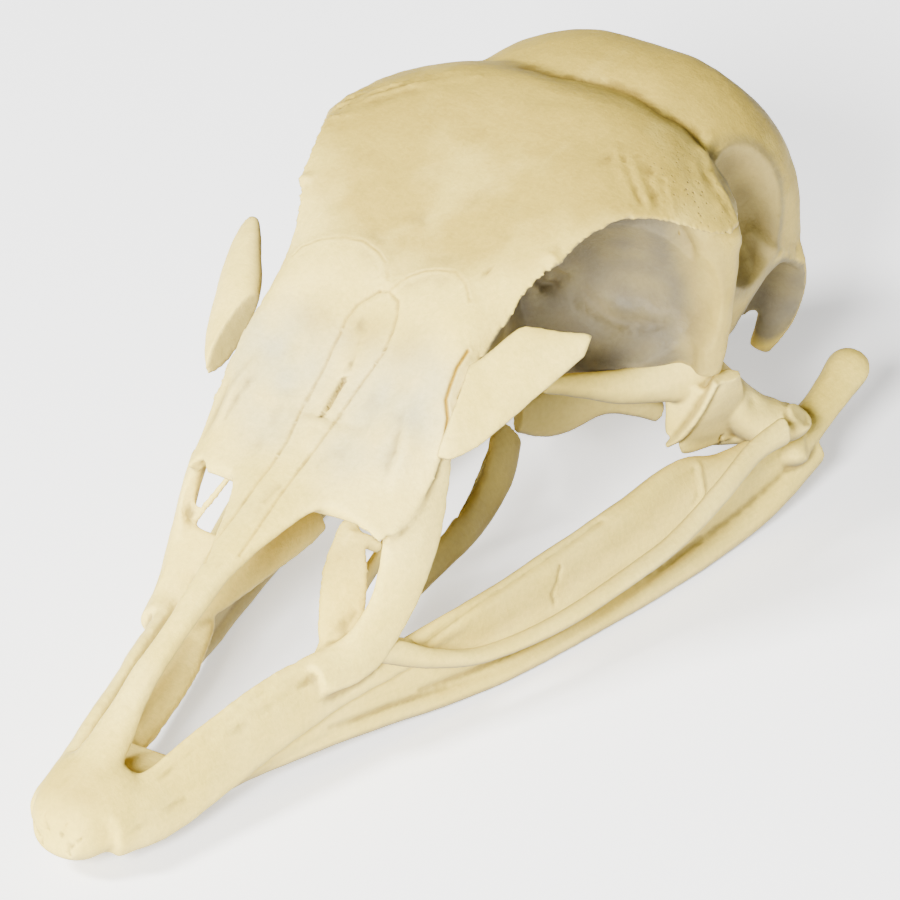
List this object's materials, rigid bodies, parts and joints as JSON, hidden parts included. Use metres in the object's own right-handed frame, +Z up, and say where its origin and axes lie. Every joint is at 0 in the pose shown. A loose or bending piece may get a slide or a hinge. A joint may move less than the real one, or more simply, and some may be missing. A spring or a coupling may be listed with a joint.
{
  "type": "turkey skull",
  "caption": "Dry bird skull with long beak, open nostrils, round eye sockets, thin cheek bars and its lower jaw in place, resting on the lower jaw.",
  "frame": {"origin": "middle of the skull's length and width, on the surface that the lower jaw's flat edges rest on", "axes": "+Z up, +Y from the beak tip to the back of the skull, +X to the skull's left side"},
  "size_m": [0.045, 0.0987, 0.0427],
  "materials": {
    "cranium_bone": "matte",
    "mandible_bone": "matte",
    "lacrimal_bone": "matte",
    "quadrate_bone": "matte",
    "jugal_bone": "matte",
    "palate_bone": "matte"
  },
  "bodies": {
    "root": {"cranium": "cranium_bone", "mandible": "mandible_bone", "lacrimal_left": "lacrimal_bone", "lacrimal_right": "lacrimal_bone", "quadrate_left": "quadrate_bone", "quadrate_right": "quadrate_bone", "jugal_left": "jugal_bone", "jugal_right": "jugal_bone", "palatine_left": "palate_bone", "palatine_right": "palate_bone", "pterygoid_left": "palate_bone", "pterygoid_right": "palate_bone"}
  },
  "joints": []
}
